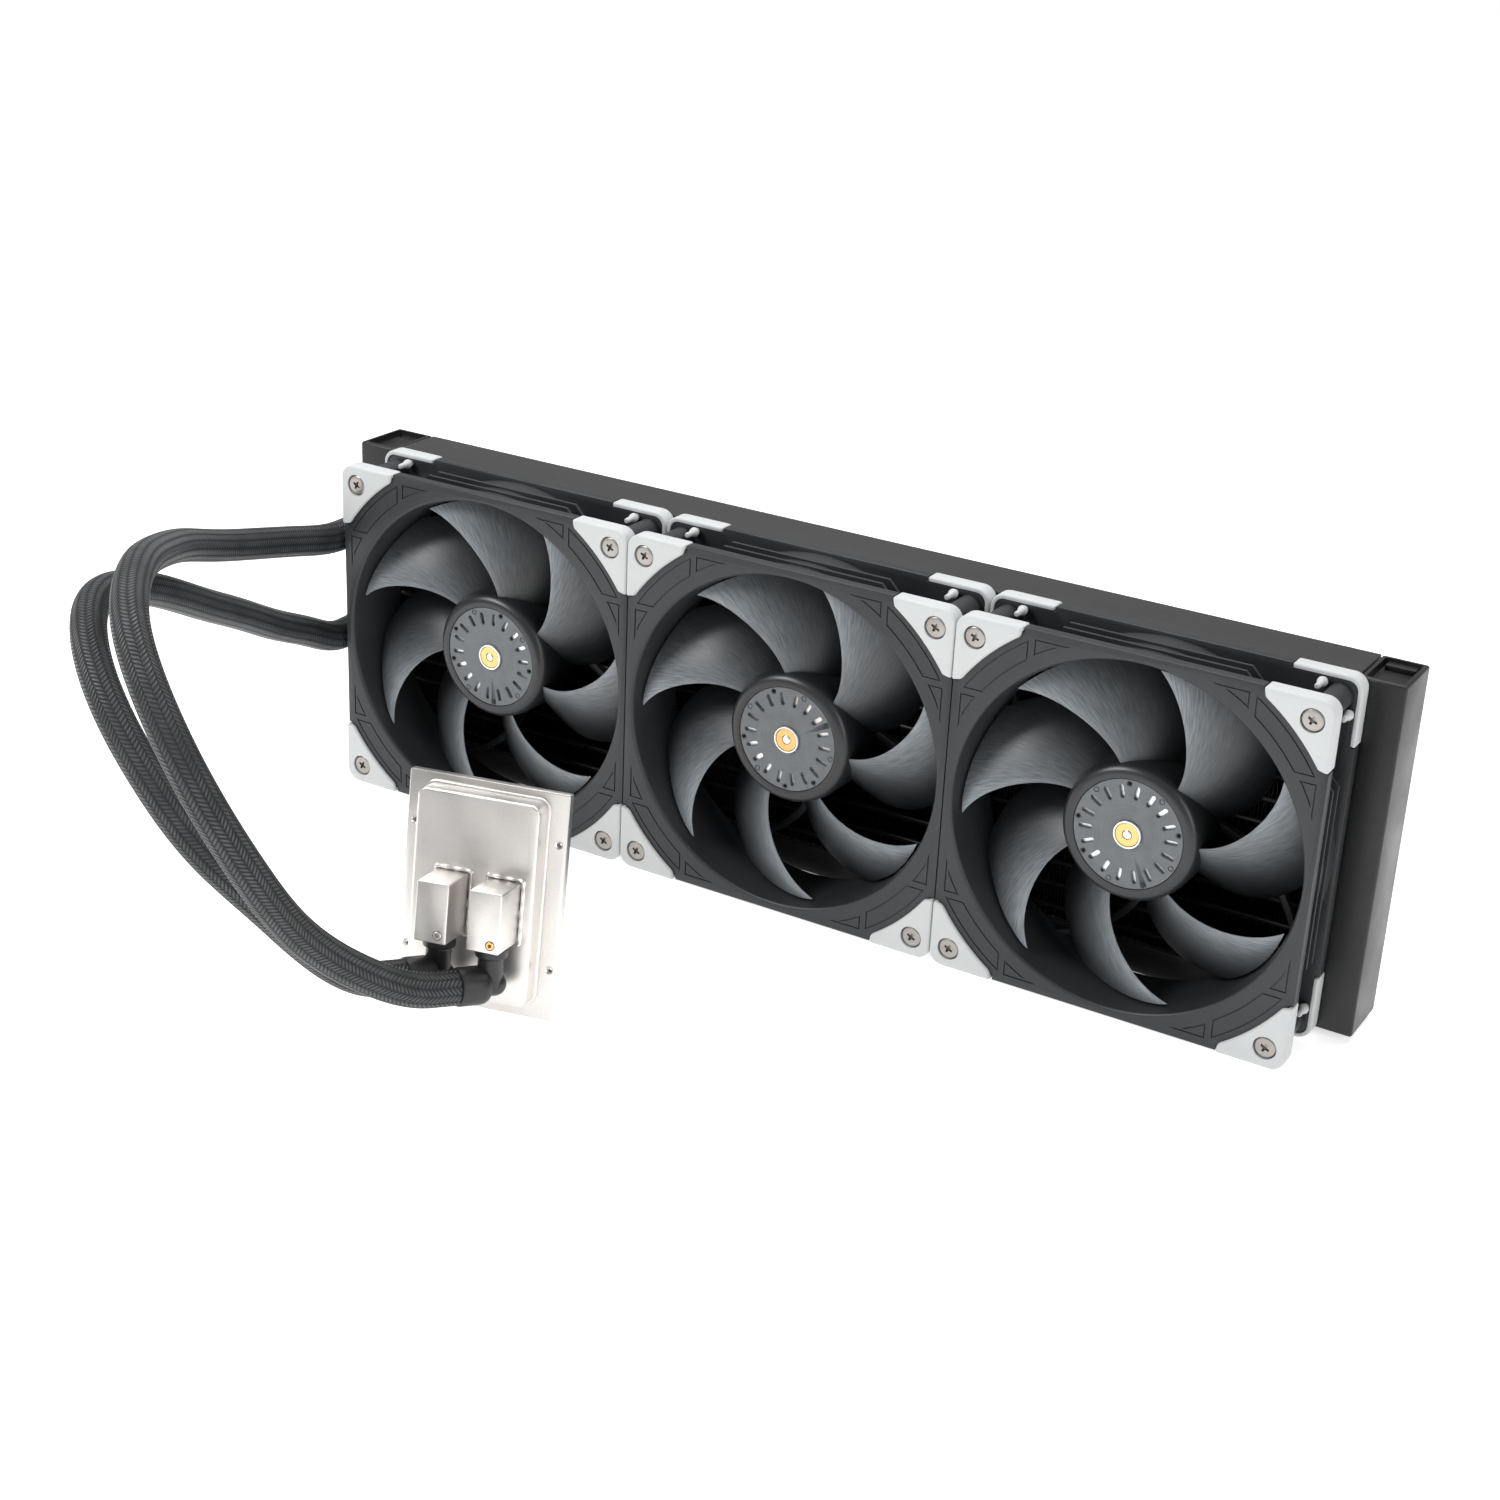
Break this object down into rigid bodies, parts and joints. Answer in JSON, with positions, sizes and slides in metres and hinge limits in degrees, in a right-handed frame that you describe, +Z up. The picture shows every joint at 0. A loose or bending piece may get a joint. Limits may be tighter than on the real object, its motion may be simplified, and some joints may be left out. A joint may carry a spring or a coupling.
{
  "type": "liquid cooling radiator",
  "caption": "Long finned radiator with axial fans on its front, two braided hoses and a rectangular cooling block with elbow fittings.",
  "frame": {"origin": "centre of the base of the bounding box of radiator, fans and block, without the hoses and their ferrules", "axes": "+X along the radiator from the port tank to the far tank, +Y from the fans to the radiator's back, +Z up"},
  "size_m": [0.4518, 0.2899, 0.1638],
  "materials": {
    "frame_plastic": "fine matt",
    "blade_plastic": "satin, fine moulded grain",
    "motor_steel": "turned steel, brass bushing",
    "stator_copper": "wound copper",
    "pad_rubber": "matt light grey",
    "screw_nickel": "nickel plated",
    "hose_sleeve": "braided sleeve",
    "cold_plate_copper": "machined copper",
    "plug_brass": "turned",
    "block_nickel": "bead blasted nickel",
    "fitting_black": "satin black",
    "radiator_black": "satin black powder coat"
  },
  "bodies": {
    "cooler": {"block_housing": "block_nickel", "bottom_side_plate": "radiator_black", "cold_plate": "cold_plate_copper", "fan_1_frame": "frame_plastic", "fan_1_pad_bl": "pad_rubber", "fan_1_pad_br": "pad_rubber", "fan_1_pad_tl": "pad_rubber", "fan_1_pad_tr": "pad_rubber", "fan_1_screw_bl": "screw_nickel", "fan_1_screw_br": "screw_nickel", "fan_1_screw_tl": "screw_nickel", "fan_1_screw_tr": "screw_nickel", "fan_1_stator": "stator_copper", "fan_2_frame": "frame_plastic", "fan_2_pad_bl": "pad_rubber", "fan_2_pad_br": "pad_rubber", "fan_2_pad_tl": "pad_rubber", "fan_2_pad_tr": "pad_rubber", "fan_2_screw_bl": "screw_nickel", "fan_2_screw_br": "screw_nickel", "fan_2_screw_tl": "screw_nickel", "fan_2_screw_tr": "screw_nickel", "fan_2_stator": "stator_copper", "fan_3_frame": "frame_plastic", "fan_3_pad_bl": "pad_rubber", "fan_3_pad_br": "pad_rubber", "fan_3_pad_tl": "pad_rubber", "fan_3_pad_tr": "pad_rubber", "fan_3_screw_bl": "screw_nickel", "fan_3_screw_br": "screw_nickel", "fan_3_screw_tl": "screw_nickel", "fan_3_screw_tr": "screw_nickel", "fan_3_stator": "stator_copper", "far_tank": "radiator_black", "left_elbow": "fitting_black", "left_plug": "block_nickel", "left_port_box": "block_nickel", "lower_block_ferrule": "fitting_black", "lower_hose": "hose_sleeve", "lower_port_fitting": "fitting_black", "lower_radiator_ferrule": "fitting_black", "mounting_plate": "block_nickel", "port_tank": "radiator_black", "radiator_core": "radiator_black", "right_elbow": "fitting_black", "right_plug": "plug_brass", "right_port_box": "block_nickel", "top_side_plate": "radiator_black", "upper_block_ferrule": "fitting_black", "upper_hose": "hose_sleeve", "upper_port_fitting": "fitting_black", "upper_radiator_ferrule": "fitting_black"},
    "fan_1_spinner": {"fan_1_impeller": "blade_plastic", "fan_1_rotor": "motor_steel"},
    "fan_2_spinner": {"fan_2_impeller": "blade_plastic", "fan_2_rotor": "motor_steel"},
    "fan_3_spinner": {"fan_3_impeller": "blade_plastic", "fan_3_rotor": "motor_steel"}
  },
  "joints": [
    {"name": "fan_1_spin", "type": "hinge", "parent": "cooler", "child": "fan_1_spinner", "pos_m": [-0.1374, 0.04691, 0.07], "axis": [0, -1, 0], "continuous": true},
    {"name": "fan_2_spin", "type": "hinge", "parent": "cooler", "child": "fan_2_spinner", "pos_m": [0.0029, 0.04691, 0.07], "axis": [0, -1, 0], "continuous": true},
    {"name": "fan_3_spin", "type": "hinge", "parent": "cooler", "child": "fan_3_spinner", "pos_m": [0.1432, 0.04691, 0.07], "axis": [0, -1, 0], "continuous": true}
  ]
}
